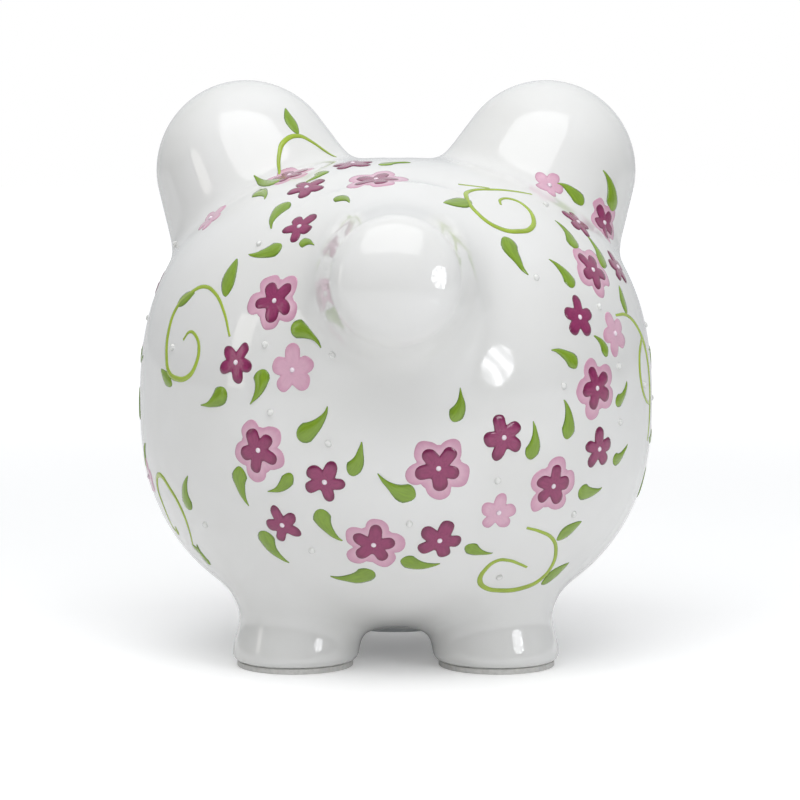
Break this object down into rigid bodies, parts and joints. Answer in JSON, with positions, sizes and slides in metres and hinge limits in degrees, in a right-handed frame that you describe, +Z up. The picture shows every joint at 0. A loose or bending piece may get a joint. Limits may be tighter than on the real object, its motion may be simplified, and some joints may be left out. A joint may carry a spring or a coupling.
{
  "type": "piggy bank",
  "caption": "Round glazed ceramic pig money bank with ball ears, a raised snout, stub feet, a coin slot between the ears and a soft pull-out plug in the belly.",
  "frame": {"origin": "on the floor, at the bottom centre of the whole bank's box, from the snout's tip to the back of the tail", "axes": "+Z up; the pig looks along -Y; +X is to the right of someone who faces it; the body's own axis is vertical and stands 10.9 mm behind the origin"},
  "size_m": [0.19, 0.2183, 0.2119],
  "materials": {
    "glaze_white": "glossy white glaze",
    "plug_vinyl": "soft milky vinyl",
    "pad_foam": "matt closed-cell foam"
  },
  "bodies": {
    "pig": {"shell": "glaze_white", "tail": "glaze_white", "foot_pad_front_left": "pad_foam", "foot_pad_front_right": "pad_foam", "foot_pad_back_left": "pad_foam", "foot_pad_back_right": "pad_foam"},
    "plug": {"stopper": "plug_vinyl"}
  },
  "joints": [
    {"name": "stopper_pull", "type": "slide", "parent": "pig", "child": "plug", "axis": [0, 0, -1], "range_m": [0, 0.008]}
  ]
}
